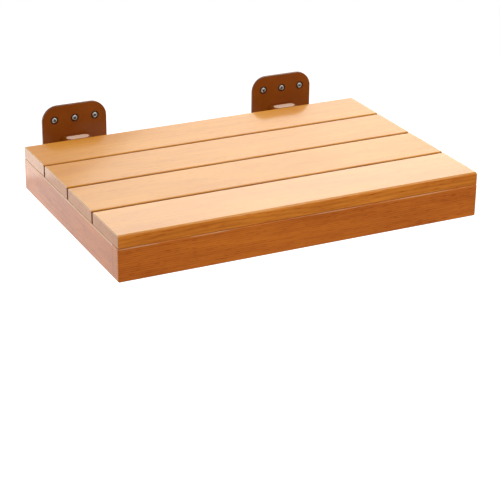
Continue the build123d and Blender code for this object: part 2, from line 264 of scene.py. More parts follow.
# Values of the noise between which a pore and a tick set in.
PORE_RANGE, TICK_RANGE = (0.60, 0.72), (0.56, 0.74)
STREAK_SHARE = 0.4


def drawn_out(place, patch, shift, detail=2.0):
    """Noise drawn out along a board.

    The place is three wires: along, across and up. The patch is a length along the board and a width across
    it, in millimetres, and the shift moves the noise along the board.
    """
    along, across, up = place
    length, width = patch
    return noise(along / length + shift, across / width, up / width, detail)


def grain(place, heart, seed):
    """Year rings, fibres, pores, ticks and streaks of a board, each from 0 to 1.

    A ring is the distance from the heart line, bent slowly along the board, taken as a wave.
    The others are noises drawn out along the board: fine fibres, finer pores, short broad ticks, and long
    streaks into which wide clouds blur.
    """
    across, up = place[1:]
    drift = drawn_out(place, DRIFT_PATCH, seed) * BEND
    radius = ((across - heart[0] + drift) ** 2 + (up - heart[1]) ** 2) ** 0.5
    late = ((radius * (2 * math.pi / RING)).math("SINE") * 0.5 + 0.5) ** LATE_WOOD_POWER
    fibre = drawn_out(place, FIBRE_PATCH, seed, detail=3.0)
    pore = drawn_out(place, PORE_PATCH, -seed, detail=1.0).step(*PORE_RANGE)
    tick = drawn_out(place, TICK_PATCH, seed, detail=1.0).step(*TICK_RANGE)
    cloud = drawn_out(place, CLOUD_PATCH, -seed)
    streak = drawn_out(place, STREAK_PATCH, seed)
    return late, fibre, pore, tick, cloud.blend(streak, STREAK_SHARE)


print("year rings:", RING, "mm wide, bent by up to", BEND, "mm")


# %% [markdown]
# Wood has no single colour. It goes from a dark tone in the grain to a pale one between it. One pair of
# tones could serve a whole board, but varnish yellows its faces unevenly: the top is the palest, as use has
# bleached it, and the ends are the greyest. So the edges, tops and ends of slats and rails have pairs of
# their own.

# %% Tones
RAIL_TONES = ((0.41, 0.074, 0.004, 1.0), (0.78, 0.216, 0.019, 1.0))
EDGE_TONES = ((0.50, 0.112, 0.006, 1.0), (0.92, 0.312, 0.032, 1.0))
TOP_TONES = ((0.63, 0.218, 0.010, 1.0), (0.83, 0.356, 0.032, 1.0))
END_TONES = ((0.45, 0.146, 0.040, 1.0), (0.75, 0.303, 0.098, 1.0))
RAIL_END_TONES = ((0.49, 0.130, 0.014, 1.0), (0.79, 0.234, 0.034, 1.0))
# Pale wood where edges are worn, which also stands for a painted highlight, and a dark tone for painted
# shade.
WORN_WITH_HIGHLIGHT, WOOD_SHADE = (0.93, 0.67, 0.40, 1.0), (0.13, 0.034, 0.005, 1.0)
print("tones from the grain to the wood, on top:", TOP_TONES[0][:3], "to", TOP_TONES[1][:3])


# %% [markdown]
# Use has marked the varnish. Upper edges are rubbed down to bare wood, and their pale tone also stands for a
# painted highlight along them. Along lower edges and in the gaps between the boards the wood is darker:
# painted shade. Each mark could be a mask of its own, painted by hand. Here it is a distance from a face or
# an edge of the board, so that it lies where the real edge is.

# %% Wear and grime
# Distances in millimetres at which a mark is full, and at which it is gone.
WEAR_HIGHLIGHT_TOP, WEAR_HIGHLIGHT_END = (0.8, 2.2), (1.0, 2.5)
SHADED_FOOT, SHADED_FACE = (0.3, 1.5), (0.2, 1.0)
# Distances over which wear and its painted highlight start beside a gap, and painted shade starts below the
# top.
WEAR_HIGHLIGHT_BESIDE_GAP, SHADE_BELOW_TOP = (1.0, 2.4), (0.4, 1.9)
FOOT_SHADE, GAP_SHADE = 0.45, 0.9


def wear_highlight_and_shade(edge, faces, sides, patch, wear, gap_faces):
    """Shares of pale wear, which also stands for a painted highlight, and of painted shade, from the
    distances to a board's faces and to its nearer side.

    Upper edges are rubbed pale, with a painted highlight, all along, in patches, and at the left and right
    side.
    A little painted shade darkens the lower edges, and more darkens a front or rear that faces a board.
    """
    rubbed_and_lit = wear[0] + patch * wear[1] + sides.near(*WEAR_HIGHLIGHT_END) * wear[2]
    worn_with_highlight = edge * faces["top"].near(*WEAR_HIGHLIGHT_TOP) * rubbed_and_lit
    dark = edge * faces["foot"].near(*SHADED_FOOT) * FOOT_SHADE
    for face in gap_faces:
        worn_with_highlight = worn_with_highlight * faces[face].step(*WEAR_HIGHLIGHT_BESIDE_GAP)
        dark = dark.most(faces[face].near(*SHADED_FACE) * faces["top"].step(*SHADE_BELOW_TOP) * GAP_SHADE)
    return worn_with_highlight, dark


print("wear starts", WEAR_HIGHLIGHT_TOP[1], "mm below the top of a board")


# %% [markdown]
# Now a board can be put together: tones that follow the grain, pale wear with a painted highlight and painted
# shade over them, and clear varnish over all. One even coat would be simpler. But use has polished the top
# and the flanks, so their coat is fuller, and the rest has a thin one that leaves pores and fibres open.

# %% A board
# Distances in millimetres at which an edge, a flank or end, and the top are full, and at which they are gone.
EDGE, FACE, TOP = (0.2, 2.2), (0.15, 0.9), (0.2, 1.8)
OPPOSITE = (("left", "right"), ("front", "rear"), ("foot", "top"))
# Share of pale wood, what streaks and fibres add to it, what edges add as a painted highlight, and what the
# dark marks take from it.
PALE_WOOD, BY_STREAK, BY_FIBRE, BY_EDGE_HIGHLIGHT = 0.66, 1.7, 0.6, 0.10
BY_RING, BY_PORE, BY_TICK, BY_RING_ON_END = 0.22, 0.25, 0.35, 0.12
RUBBED_LIT_PATCH, RUBBED_LIT_RANGE = (60, 12), (0.42, 0.62)
SATIN, ROUGHER = 0.36, 0.1
FIBRE_RISE, PORE_SINK, RING_SINK = 0.5, 0.5, 0.25
VARNISH = {"Coat Roughness": 0.10, "Coat IOR": 1.5, "Specular IOR Level": 0.08}
THIN_COAT, FLANK_COAT = 0.04, 0.6


def board(node, heart, seed, tones, sheen, wear, gap_faces, along_y=False):
    """A varnished board, cut from its own piece of the tree.

    The tones are those of its edges, its top and its ends, and the sheen is the coat of varnish on its top.
    Wear is how far its upper edges are rubbed pale, which also stands for a painted highlight: all along, in
    patches, and at the left and right side.
    """
    material, (x, y, z) = blank(node + "_wood")
    low, high = box_mm(node)
    place = (y, x, z) if along_y else (x, y, z)
    middle = ((low + high) / 2)[[0, 2] if along_y else [1, 2]]
    late, fibre, pore, tick, streak = grain(place, middle + heart, seed)

    faces = face_distances(x, y, z, low, high)
    nearer = [faces[one].least(faces[other]) for one, other in OPPOSITE]
    edge = second_least(*nearer).near(*EDGE)
    flank = nearer[0].near(*FACE)
    end = nearer[1].near(*FACE) if along_y else flank
    upper = faces["top"].near(*TOP)

    # Streaks and fibres are noises, which are 0.5 on average.
    share = PALE_WOOD + (streak - 0.5) * BY_STREAK + (fibre - 0.5) * BY_FIBRE
    share = share - late * BY_RING - pore * BY_PORE - tick * BY_TICK
    # Edges are a little paler: a painted highlight.
    share = (share + edge * BY_EDGE_HIGHLIGHT).math("ADD", 0.0, clamp=True)
    colour = upper.mix(share.mix(*tones[0]), share.mix(*tones[1]))
    colour = end.mix(colour, (share - late * BY_RING_ON_END).mix(*tones[2]))

    patch = drawn_out(place, RUBBED_LIT_PATCH, -seed).step(*RUBBED_LIT_RANGE)
    worn_with_highlight, dark = wear_highlight_and_shade(edge, faces, nearer[0], patch, wear, gap_faces)
    # Worn pale upper edges with a painted highlight, and painted shade on lower edges and in the gaps.
    colour = dark.mix(worn_with_highlight.mix(colour, WORN_WITH_HIGHLIGHT), WOOD_SHADE)

    rough = SATIN + fibre * ROUGHER + end * ROUGHER + pore * ROUGHER
    height = fibre * FIBRE_RISE - pore * PORE_SINK - late * RING_SINK
    coat = (upper * sheen).most(flank * FLANK_COAT).most(THIN_COAT)
    return finish(material, {
        **VARNISH, "Base Color": colour, "Roughness": rough, "Coat Weight": coat,
        "Normal": relief(height, depth_mm=0.05, strength=0.35)})


print("pale wood in a board: a share of", PALE_WOOD)


# %% [markdown]
# The four slats are the same wood, but no two come from the same place in a tree. One material could serve
# them all, and then their grain would run on from slat to slat. So each has its own heart line, in
# millimetres from its middle, and its own seed. Legs polish the front slat, so it has the fullest sheen.

# %% Slats
SLAT_TONES = (EDGE_TONES, TOP_TONES, END_TONES)
# Shares of wear with a painted highlight on the upper edges: all along, in patches, and at the sides.
INNER_WEAR_WITH_HIGHLIGHT, FRONT_WEAR_WITH_HIGHLIGHT = (0.3, 0.2, 0.2), (0.0, 0.15, 0.5)
BOTH = ("front", "rear")
SLATS = {
    "rear_slat": dict(heart=(150, -70), seed=1.7, sheen=0.34, wear=INNER_WEAR_WITH_HIGHLIGHT, gap_faces=("front",)),
    "rear_middle_slat": dict(heart=(-170, -60), seed=5.2, sheen=0.38, wear=INNER_WEAR_WITH_HIGHLIGHT, gap_faces=BOTH),
    "front_middle_slat": dict(heart=(140, -90), seed=9.6, sheen=0.42, wear=INNER_WEAR_WITH_HIGHLIGHT, gap_faces=BOTH),
    "front_slat": dict(heart=(-160, -64), seed=13.1, sheen=0.58, wear=FRONT_WEAR_WITH_HIGHLIGHT, gap_faces=("rear",)),
}
for name, cut in SLATS.items():
    dress([name], board(name, tones=SLAT_TONES, **cut))
print("slats:", [NODES[name].data.materials[0].name for name in SLATS])


# %% [markdown]
# The rails are the same wood and finish. Their tops are under the slats, so nothing has bleached them. The
# front rail runs along the seat and the side rails across it, which turns their grain by a quarter. Hands
# that fold the seat rub the upper edges of the side rails, so these are the paler ones; their pale tone is
# also a painted highlight.

# %% Rails
# The side rails' pale upper edges are wear and a painted highlight.
SIDE_RAIL = dict(
    along_y=True, tones=(RAIL_TONES, EDGE_TONES, RAIL_END_TONES), sheen=0.8, wear=(0.7, 0.3, 0.0),
    gap_faces=("front",))
RAILS = {
    "front_rail": dict(
        heart=(-40, -160), seed=17.9, tones=(RAIL_TONES, RAIL_TONES, RAIL_END_TONES), sheen=0.1,
        wear=(0.04, 0.42, 0.0), gap_faces=()),
    "left_side_rail": dict(heart=(50, 150), seed=25.8, **SIDE_RAIL),
    "right_side_rail": dict(heart=(-60, 140), seed=29.3, **SIDE_RAIL),
}
for name, cut in RAILS.items():
    dress([name], board(name, **cut))
print("rails:", list(RAILS))


# %% [markdown]
# Dowels are plain beech pegs, glued into the boards where nobody sees them. Beech has short dark flecks. It
# could have rings as the boards do, but on thin pegs two stretched noises are enough. They are drawn out
# upwards, as most of the pegs stand upright.

# %% Beech pegs
DOWELS = ["front_rail_dowels", "left_slat_dowels", "right_slat_dowels", "corner_dowels"]
BEECH_TONES = ((0.46, 0.28, 0.13, 1.0), (0.68, 0.49, 0.28, 1.0))
BEECH_ROUGH = (0.6, 0.8)
# Width and length of the flecks and of the clouds in the tone, in millimetres.
FLECK, BEECH_CLOUD = (0.5, 3.0), (4, 20)
FLECK_RANGE, FLECK_SHADE, CLOUD_LIFT = (0.58, 0.7), 0.4, 0.1
beech, (x, y, z) = blank("beech")
fleck = noise(x / FLECK[0], y / FLECK[0], z / FLECK[1], detail=1.0).step(*FLECK_RANGE)
cloud = noise(x / BEECH_CLOUD[0], y / BEECH_CLOUD[0], z / BEECH_CLOUD[1])
tone = (cloud - fleck * FLECK_SHADE).math("ADD", CLOUD_LIFT, clamp=True)
finish(beech, {
    "Specular IOR Level": 0.3, "Base Color": tone.mix(*BEECH_TONES),
    "Roughness": fleck.between(*BEECH_ROUGH)})
dress(DOWELS, beech)
print("pegs:", DOWELS)


# %% [markdown]
# ## Brown paint
# Arms, brackets and plates are sheet steel with a baked brown paint. Such paint is never quite flat: it
# dries with a fine orange-peel skin and draws back from sharp edges. A plain brown with some noise would
# pass from far away. Here the marks are distances again, worked out from each piece's own size, so that they
# follow the real edges. Some of them are painted light and shade: paler sharp edges are thin paint and a
# painted highlight, and darker outlines and hollows are painted shade. The arms are the simplest: the paint
# is thin and paler on the free lower edges of their flanges, partly as a painted highlight.

# %% Painted arms
PAINT_TONES = ((0.215, 0.047, 0.0026, 1.0), (0.330, 0.086, 0.0064, 1.0))
# Thin paint on sharp edges, which also stands for a painted highlight there.
THIN_PAINT_AND_HIGHLIGHT = (0.38, 0.130, 0.030, 1.0)
PAINT = {"Specular IOR Level": 0.12, "Coat Roughness": 0.12}
PAINT_ROUGH, PAINT_COAT = (0.36, 0.48), (0.08, 0.12)
# Sizes in millimetres of the orange peel, the clouds in the tone and the patches of thin paint with a painted
# highlight.
PEEL, CLOUD, THIN_PATCH = 1.1, 22, 5
PEEL_SHARE = 0.3
THIN_EDGE, THIN_RANGE = (0.1, 0.9), (0.25, 0.65)


def painted(node, marks_of):
    """Brown baked paint. marks_of gives the places where another tone shows: pairs of a share and a tone."""
    material, (x, y, z) = blank(node + "_paint")
    peel = spots(x, y, z, PEEL, detail=1.0)
    cloud = spots(x, y, z, CLOUD)
    colour = cloud.blend(peel, PEEL_SHARE).mix(*PAINT_TONES)
    coat = cloud.between(*PAINT_COAT)
    for share, tone in marks_of(x, y, z, *box_mm(node)):
        colour = share.mix(colour, tone)
        coat = coat * (1 - share)
    return finish(material, {
        **PAINT, "Base Color": colour, "Roughness": cloud.between(*PAINT_ROUGH), "Coat Weight": coat,
        "Normal": relief(peel, depth_mm=0.05, strength=0.3)})


def paint_pair(part, marks_of):
    """Paint a part on the left and on the right, each from its own box."""
    nodes = [side + "_" + part for side in SIDES]
    for node in nodes:
        dress([node], painted(node, marks_of))
    print("painted:", nodes)


def thin_paint_and_highlight(x, y, z, gap):
    """Paler paint along a sharp edge, in patches, from the distance to the edge: thin paint, and a painted
    highlight.
    """
    patch = spots(x, y, z, THIN_PATCH).step(*THIN_RANGE)
    return gap.near(*THIN_EDGE) * patch, THIN_PAINT_AND_HIGHLIGHT


def arm_marks(x, y, z, low, high):
    """Thin paint with a painted highlight on the free lower edges of an arm's flanges."""
    return [thin_paint_and_highlight(x, y, z, z - low[2])]


paint_pair("arm", arm_marks)


# %% [markdown]
# A plate is cut with a rounded outline. A thin dark line along that edge is painted shade. Its five screws
# sit in countersinks, and the shade in them is painted too. A line could be modelled as a bevel, but it
# is thinner than a pixel, so the distance from the outline is enough.

# %% Wall plates
# Painted shade, along a plate's outline and in its countersinks.
PAINT_SHADE = (0.070, 0.015, 0.0012, 1.0)
# The packed plate's corner radius, and how far its screws stand from its middle, in millimetres.
PLATE_CORNER = 20.0
SCREW_BESIDE, SCREW_ABOVE = 26.5, 24.0
COUNTERSINK, OUTLINE, OUTLINE_SHADE = (4.4, 5.8), (0.1, 0.8), 0.5


def plate_marks(x, y, z, low, high):
    """Painted shade along the rounded outline of a plate, and painted shade in its countersinks.

    The distance from the outline is the corner radius less the distance from the corner's centre.
    Four screws stand near the corners, and one in the middle of the upper row.
    """
    middle, half = (low + high) / 2, (high - low) / 2
    beside, rise = abs(x - middle[0]), z - middle[2]
    above = abs(rise)
    over_x, over_z = beside - (half[0] - PLATE_CORNER), above - (half[2] - PLATE_CORNER)
    outside = (over_x.most(0.0) ** 2 + over_z.most(0.0) ** 2) ** 0.5
    gap = PLATE_CORNER - outside - over_x.most(over_z).least(0.0)
    in_corner = ((beside - SCREW_BESIDE) ** 2 + (above - SCREW_ABOVE) ** 2) ** 0.5
    in_middle = (beside ** 2 + (rise - SCREW_ABOVE) ** 2) ** 0.5
    shade = in_corner.least(in_middle).near(*COUNTERSINK) * y.near(middle[1], high[1])
    return [(shade.most(gap.near(*OUTLINE) * OUTLINE_SHADE), PAINT_SHADE)]


paint_pair("wall_plate", plate_marks)


# %% [markdown]
# A bracket is a bent channel: two ears that hold the bolt, and a bridge over them. The top of each bridge
# shows as a pale band in the photograph, and here that band is a painted highlight. A strip of other colour
# laid on top would stand proud, so the band is a tone in the paint.

# %% Hinge brackets
# A painted highlight: the pale band on top of each bridge.
PAINTED_HIGHLIGHT = (0.96, 0.70, 0.54, 1.0)
# The band's distance from the plate, half its straight length and its radius, in millimetres.
BAND_BEHIND, BAND_HALF, BAND_RADIUS = 8.6, 9.4, 5.6
BAND_FADE, BAND_TOP = 0.6, (0.3, 0.8)


def bracket_marks(x, y, z, low, high):
    """Thin paint with a painted highlight on the front and the foot of the ears, and a painted highlight on
    the bridge: a pale band with round ends.

    The band is all that lies within a radius of a short line across the top.
    """
    beside = (abs(x - (low[0] + high[0]) / 2) - BAND_HALF).most(0.0)
    away = (beside ** 2 + (y - (high[1] - BAND_BEHIND)) ** 2) ** 0.5
    highlight_band = away.near(BAND_RADIUS - BAND_FADE, BAND_RADIUS) * (high[2] - z).near(*BAND_TOP)
    return [thin_paint_and_highlight(x, y, z, (y - low[1]).least(z - low[2])), (highlight_band, PAINTED_HIGHLIGHT)]


paint_pair("hinge_bracket", bracket_marks)


# %% [markdown]
# ## Plated steel
# Screws, bolts, nuts and sleeves are zinc plated: a bright grey metal with faint turning marks. The driver
# recess of each screw is darkened by dirt and by painted shade, and the rim of each head on the wall by
# painted shade. The recess is not a place that a formula on x, y and z could find, so the screw surfaces made
# below carry it themselves, as an attribute called recess.

# %% Zinc plating
ZINC_TONES = ((0.40, 0.38, 0.35, 1.0), (0.66, 0.64, 0.60, 1.0))
SCREW_TONES = ((0.29, 0.27, 0.245, 1.0), (0.52, 0.50, 0.46, 1.0))
# Dirt and painted shade in the screw recesses, and painted shade round the wall-screw heads.
DIRT_AND_SHADE = (0.05, 0.045, 0.04, 1.0)
ZINC_ROUGH, DIRT_ROUGH = (0.22, 0.38), 0.3
# Width and length of the turning marks, and size of the clouds in the plating, in millimetres.
TURNED, DULL_SPOT = (0.25, 2.0), 3
TURNED_SHARE = 0.4


def plated(name, tones, with_recess):
    """Bright plated steel, darker where the attribute recess is 1: dirt and painted shade."""
    material, (x, y, z) = blank(name)
    mark = noise(x / TURNED[0], y / TURNED[1], z / TURNED[0])
    colour = spots(x, y, z, DULL_SPOT).blend(mark, TURNED_SHARE).mix(*tones)
    rough = mark.between(*ZINC_ROUGH)
    if with_recess:
        deep = x.node("ShaderNodeAttribute", {"attribute_name": "recess"}, None, "Fac")
        # Dirt and painted shade darken the recess and the rim of a wall-screw head.
        colour = deep.mix(colour, DIRT_AND_SHADE)
        rough = rough + deep * DIRT_ROUGH
    return finish(material, {
        "Metallic": 1.0, "Base Color": colour, "Roughness": rough,
        "Normal": relief(mark, depth_mm=0.01, strength=0.3)})


zinc = plated("zinc", ZINC_TONES, False)
screw_zinc = plated("screw_zinc", SCREW_TONES, True)
PLATED = ("hinge_bolt", "hinge_nut", "hinge_sleeve", "wall_screws", "arm_screws")
dress([side + "_" + part for side in SIDES for part in PLATED], zinc)
print("plated:", [name for name in NODES if NODES[name].data.materials[0] is zinc])


# %% [markdown]
# ## Screws with a cross recess and a thread
# The packed part has plain screws, which is enough to hold a place. Up close a screw needs its cross-shaped
# recess and its thread. They could be cut with boolean tools, which leave ragged faces on such small forms.
# A formula is cleaner. A screw is a lathe shape: a radius and a height for each step along its outline,
# carried round its axis.

# %% A skin round an axis
def skin(points, tip, tip_first):
    """Vertices of a grid, rows by columns, with its faces of four and of three corners.

    The last column joins the first. One more point, the tip, closes the first or the last row with a fan.
    """
    rows, columns = points.shape[:2]
    index = np.arange(rows * columns).reshape(rows, columns)
    right = np.roll(index, -1, axis=1)
    fours = np.stack([index[:-1], index[1:], right[1:], right[:-1]], axis=-1).reshape(-1, 4)
    peak = np.full(columns, rows * columns)
    fan = [peak, index[0], right[0]] if tip_first else [index[-1], peak, right[-1]]
    vertices = np.concatenate([points.reshape(-1, 3), np.reshape(tip, (1, 3))])
    return vertices, fours, np.stack(fan, axis=-1)


vertices, fours, fan = skin(np.zeros((2, 6, 3)), (0, 0, 0), True)
print("a cup of 2 rows and 6 columns:", len(vertices), "points,", len(fours) + len(fan), "faces")


# %% [markdown]
# All screws of one side and kind are one piece, as in the packed part. They could be joined in Blender, but
# their arrays are simply put end to end, with each face's numbers counted on. The piece says which body
# carries it, which finish it has, and which plain screws it takes the place of.

# %% One piece from many skins
SHARP = math.radians(38)


def piece(name, skins, material, body, replaced):
    """One object out of several skins: each is its points in millimetres, faces and shares of dirt and
    painted shade.
    """
    vertices, faces, recess, start = [], [], [], 0
    for points, fours, fan, share in skins:
        vertices.append(points)
        faces += (fours + start).tolist() + (fan + start).tolist()
        recess.append(share)
        start += len(points)
    mesh = bpy.data.meshes.new(name)
    mesh.from_pydata(np.concatenate(vertices) * MM, [], faces)
    mesh.polygons.foreach_set("use_smooth", np.ones(len(mesh.polygons), bool))
    mesh.attributes.new("recess", "FLOAT", "POINT").data.foreach_set("value", np.concatenate(recess))
    mesh.set_sharp_from_angle(angle=SHARP)
    mesh.materials.append(material)
    made = bpy.data.objects.new(name, mesh)
    bpy.context.scene.collection.objects.link(made)
    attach(made, body)
    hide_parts(replaced)
    print(name, len(skins) // 2, "screws", len(mesh.polygons), "faces")


print("edges are sharp from", round(math.degrees(SHARP)), "degrees")


# %% [markdown]
# A head is a round cap with a cross-shaped recess for the driver. The recess is two crossed slots: each is
# a smooth step in from its sides and ends, the larger of the two counts, and the floor rises from the
# middle outwards as the driver's tip does. It lowers the cap, which keeps the whole head one surface.

# %% Screw heads
HEAD_ROWS, HEAD_COLUMNS = 30, 96
# Widths in millimetres over which a slot's sides and ends sink in, and the share by which its floor rises.
SLOT_WALL, SLOT_END, SLOT_RISE = 0.25, 0.35, 0.5
# How softly the painted shade at a head's rim fades in, and how fully dirt and painted shade fill the recess.
RIM_SHADE_FADE, RECESS_FILL = 0.25, 1.6


def smooth(value):
    """0 below 0, 1 above 1, and an even S-curve between them."""
    value = np.clip(value, 0, 1)
    return value * value * (3 - 2 * value)


def cross_recess(u, v, reach, width):
    """Share of the full recess depth at a point of the head: the deeper of two crossed slots."""
    def slot(a, b):
        inside = smooth((width / 2 - np.abs(b)) / SLOT_WALL + 0.5)
        return inside * smooth((reach - np.abs(a)) / SLOT_END + 0.5)
    return np.maximum(slot(u, v), slot(v, u)) * (1 - SLOT_RISE * np.hypot(u, v) / reach)


def head_skin(radius, dome, rim, turn, reach, width, depth, unshaded=1.0):
    """Top of a screw head: a round cap, less the recess, with a straight rim below it.

    The cap is part of a ball, from the radius and the dome's height. The recess has a reach, width and depth.
    Dirt and painted shade fill the recess, and painted shade darkens the rim outside the unshaded share of
    the radius.
    """
    angles = np.linspace(0, 2 * np.pi, HEAD_COLUMNS, endpoint=False)[None, :]
    steps = np.linspace(0, 1, HEAD_ROWS)[1:, None] * radius
    bend = (radius ** 2 + dome ** 2) / (2 * dome)
    cap = rim + dome - bend + np.sqrt(bend ** 2 - steps ** 2)
    u, v = steps * np.cos(angles), steps * np.sin(angles)
    turned_u = u * math.cos(turn) + v * math.sin(turn)
    turned_v = v * math.cos(turn) - u * math.sin(turn)
    share = cross_recess(turned_u, turned_v, reach, width)
    top = np.stack([u, v, cap - share * depth], axis=-1)
    foot = np.stack([u[-1], v[-1], np.zeros(angles.size)], axis=-1)[None]
    points, fours, fan = skin(np.concatenate([top, foot]), (0, 0, rim + dome - depth), True)
    # Painted shade on the rim, and dirt with painted shade in the recess.
    rim_shade = smooth((steps / radius - unshaded) / RIM_SHADE_FADE)
    dark = np.maximum(smooth(share * RECESS_FILL), rim_shade)
    dark = np.concatenate([dark.ravel(), dark[-1], [1.0]])
    return points, fours, fan, dark


print("a head:", (HEAD_ROWS - 1) * HEAD_COLUMNS, "points on its cap")


# %% [markdown]
# Below its head a screw is a round bar with a thread. A thread could be a profile carried along a helix. It
# is simpler as a wave on the radius that climbs by one pitch in each turn, because the shank then stays one
# grid. The screws in the wall have raised countersunk heads, a neck in the plate and a thread down to the
# point.

# %% A wall screw
# Radii, heights and depths in millimetres. Height 0 is the rim of the head.
# The share of a head's radius inside the painted shade at its rim is the last of these.
HEAD, DOME, UNSHADED = 4.0, 2.0, 0.68
WALL_RECESS = dict(reach=2.0, width=1.1, depth=1.4)
NECK, NECK_TOP, NECK_FOOT = 2.0, -2.0, -3.25
THREAD, THREAD_DEPTH, PITCH, THREAD_ROWS = 2.5, 0.75, 1.9, 115
THREAD_TOP, THREAD_FOOT, POINT = -3.3, -24.2, -24.3
RUN_IN, TAPER = 1.5, 6.5
# How steep a thread's flank is, how flat its crest is, and how high a point is for its radius.
FLANK_SLOPE, CREST, POINT_SLOPE = 1.5, 0.1, 0.5


def shank_skin(outline, thread, columns=32):
    """Foot of a screw: radius, height and thread depth along an outline, from the rim to the point.

    The thread takes up to its depth off the radius, as a wave of height and angle that climbs one pitch in
    each turn.
    """
    angles = np.linspace(0, 2 * np.pi, columns, endpoint=False)[None, :]
    radius, height = outline[:, 0, None], outline[:, 1, None]
    wave = np.abs(((height / PITCH - angles / (2 * np.pi)) % 1.0) * 2 - 1)
    radius = radius - thread[:, None] * smooth(wave * FLANK_SLOPE - CREST)
    grid = np.stack([radius * np.cos(angles), radius * np.sin(angles), height + 0 * angles], axis=-1)
    points, fours, fan = skin(grid, (0, 0, outline[-1, 1] - outline[-1, 0] * POINT_SLOPE), False)
    return points, fours, fan, np.zeros(len(points))


def wall_screw(turn):
    """Raised countersunk head, plain neck in the plate and a threaded shank with a point."""
    below = np.linspace(THREAD_TOP, THREAD_FOOT, THREAD_ROWS)
    taper = smooth((below - POINT) / TAPER)
    neck = [[HEAD, 0.0], [NECK, NECK_TOP], [NECK, NECK_FOOT]]
    outline = np.concatenate([neck, np.stack([THREAD * taper, below], axis=-1)])
    depth = THREAD_DEPTH * taper * smooth((THREAD_TOP - below) / RUN_IN)
    thread = np.concatenate([np.zeros(len(neck)), depth])
    head = head_skin(HEAD, DOME, 0.0, turn, unshaded=UNSHADED, **WALL_RECESS)
    return [head, shank_skin(outline, thread)]


print("a wall screw:", [len(points) for points, *rest in wall_screw(0.0)], "points on head and shank")


# %% [markdown]
# Five such screws hold each plate to the wall. Their places could be typed in, but they come from the
# packed part: the corners of the screw node's box, and the middle of the upper row. Each is turned by its
# own angle, as driven screws are.

# %% Wall screws in place
TURNS = {"left": (0.35, 1.1, 0.8, 0.15, 1.3), "right": (0.9, 0.2, 1.25, 0.6, 0.05)}


def placed(screw, origin, u, v, w):
    """A screw's skins moved to a place: its own three axes become the directions u, v and w."""
    axes = np.array([u, v, w], float)
    return [(points @ axes + origin, *rest) for points, *rest in screw]


for side, turns in TURNS.items():
    low, high = box_mm(side + "_wall_screws")
    columns = [low[0] + HEAD, (low[0] + high[0]) / 2, high[0] - HEAD]
    upper, lower = high[2] - HEAD, low[2] + HEAD
    centres = [(column, upper) for column in columns] + [(columns[0], lower), (columns[2], lower)]
    skins = []
    for (across, level), turn in zip(centres, turns):
        origin = (across, low[1] + DOME, level)
        skins += placed(wall_screw(turn), origin, (1, 0, 0), (0, 0, 1), (0, -1, 0))
    piece(side + "_plate_screws", skins, screw_zinc, "wall_brackets", side + "_wall_screws")


# %% [markdown]
# The arms are held by pan-head screws, driven upwards into the slats. Only their heads show, so their
# shanks stay plain inside the wood. They could be threaded too, but no view would show it. Their places
# come from the points of the packed screws, and their heads sit under the arm's steel.

# %% Arm screws
PAN, PAN_DOME, PAN_RIM = 3.8, 1.6, 1.0
ARM_RECESS = dict(reach=2.1, width=1.0, depth=1.6)
SHANK, SHANK_FOOT, TIP, TIP_FOOT, SHANK_COLUMNS = 2.0, -11.0, 0.3, -13.9, 24
ARM_STEEL = 2.5
TURN_STEP = 0.7
SAME_LEVEL = 0.01


def arm_screw(turn):
    """Low pan head with a straight rim, over a plain shank and a point."""
    head = head_skin(PAN, PAN_DOME, PAN_RIM, turn, **ARM_RECESS)
    outline = np.array([[PAN, 0.0], [SHANK, 0.0], [SHANK, SHANK_FOOT], [TIP, TIP_FOOT]])
    return [head, shank_skin(outline, np.zeros(len(outline)), SHANK_COLUMNS)]


for side in SIDES:
    plain = NODES[side + "_arm_screws"].data.vertices
    corners = np.empty(3 * len(plain), np.float32)
    plain.foreach_get("co", corners)
    corners = corners.reshape(-1, 3).astype(float) / MM
    tips = corners[corners[:, 2] > corners[:, 2].max() - SAME_LEVEL]
    middle = tips[:, 0].mean()
    rows = np.unique(np.round(tips[:, 1], 2))
    under_arm = box_mm(side + "_arm")[1][2] - ARM_STEEL
    skins = []
    for count, row in enumerate(rows):
        origin = (middle, row, under_arm)
        skins += placed(arm_screw(TURN_STEP * count), origin, (1, 0, 0), (0, -1, 0), (0, 0, -1))
    piece(side + "_pan_screws", skins, screw_zinc, "seat", side + "_arm_screws")


# %% [markdown]
# ## Floor, light and camera
# The seat hangs at sitting height over a plain white floor. A white background could come from strong
# light, which would bleach the seat too. It comes from the floor's own colour and a little glow that only
# the camera and mirrors see, so it puts no more light on the seat. From below the floor is clear, so that
# the arms can be looked at.

# %% Floor
FLOOR_DROP, FLOOR_HALF = 0.46, 9.0
FLOOR_TONES = ((0.78, 0.78, 0.78, 1.0), (0.80, 0.80, 0.80, 1.0))
SPECK = 60
BLACK, GLOW = (0.0, 0.0, 0.0, 1.0), (0.55, 0.55, 0.55, 1.0)
QUARTERS = ((-1, -1), (1, -1), (1, 1), (-1, 1))


def seen_rays(wire):
    """1 for rays from the camera, a mirror or glass, and 0 for rays that light other things."""
    kinds = ("Is Camera Ray", "Is Glossy Ray", "Is Transmission Ray")
    rays = [wire.node("ShaderNodeLightPath", None, None, kind) for kind in kinds]
    return rays[0].most(rays[1]).most(rays[2])


mesh = bpy.data.meshes.new("floor")
corners = [(across * FLOOR_HALF, along * FLOOR_HALF, -FLOOR_DROP) for across, along in QUARTERS]
mesh.from_pydata(corners, [], [(0, 1, 2, 3)])
floor = bpy.data.objects.new("floor", mesh)
bpy.context.scene.collection.objects.link(floor)
pale, (x, y, z) = blank("pale_floor")
finish(pale, {
    "Roughness": 0.9, "Specular IOR Level": 0.0, "Emission Strength": 1.0,
    "Base Color": spots(x, y, z, SPECK).mix(*FLOOR_TONES), "Emission Color": seen_rays(x).mix(BLACK, GLOW),
    "Alpha": 1 - x.node("ShaderNodeNewGeometry", None, None, "Backfacing")})
mesh.materials.append(pale)
print("floor at", -FLOOR_DROP, "m")


